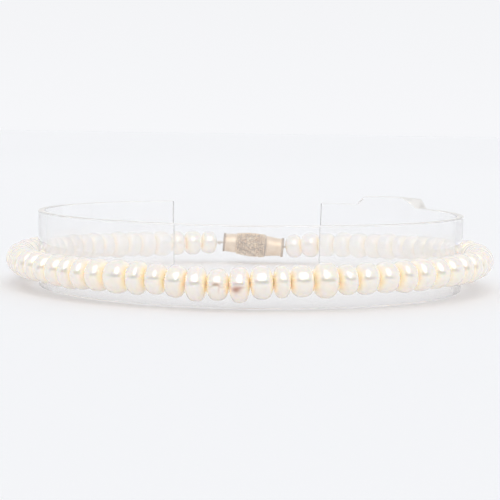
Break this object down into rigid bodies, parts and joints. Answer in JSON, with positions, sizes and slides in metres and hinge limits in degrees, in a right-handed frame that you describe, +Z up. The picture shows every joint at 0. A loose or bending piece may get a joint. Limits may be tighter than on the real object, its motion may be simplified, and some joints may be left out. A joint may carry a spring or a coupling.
{
  "type": "pearl bracelet on clear display ring",
  "caption": "Closed loop of cream button-shaped pearls strung through their short axis, with a gold barrel clasp, round a clear C-shaped display ring standing on its rim.",
  "frame": {"origin": "centre of the bounding box at the lower rim that the display ring stands on", "axes": "+Z up along the axis of the display ring and of the loop of pearls, -Y the front of the bracelet, +Y the back where the clasp sits, +X to the right seen from the front"},
  "size_m": [0.064, 0.0638, 0.0111],
  "materials": {
    "pearl": "cream nacre with a soft pearly lustre",
    "clear_plastic": "clear polished plastic, faint cool tint",
    "gold": "polished gold, granulated round the middle",
    "thread": "twisted silk bead thread"
  },
  "bodies": {
    "root": {"display_ring": "clear_plastic", "pearl_strand_1": "pearl", "pearl_strand_2": "pearl", "pearl_strand_3": "pearl", "pearl_strand_4": "pearl", "pearl_strand_5": "pearl", "pearl_strand_6": "pearl", "pearl_strand_7": "pearl", "pearl_strand_8": "pearl", "thread_end_left": "thread", "thread_end_right": "thread", "clasp_barrel": "gold", "clasp_plug": "gold"}
  },
  "joints": []
}
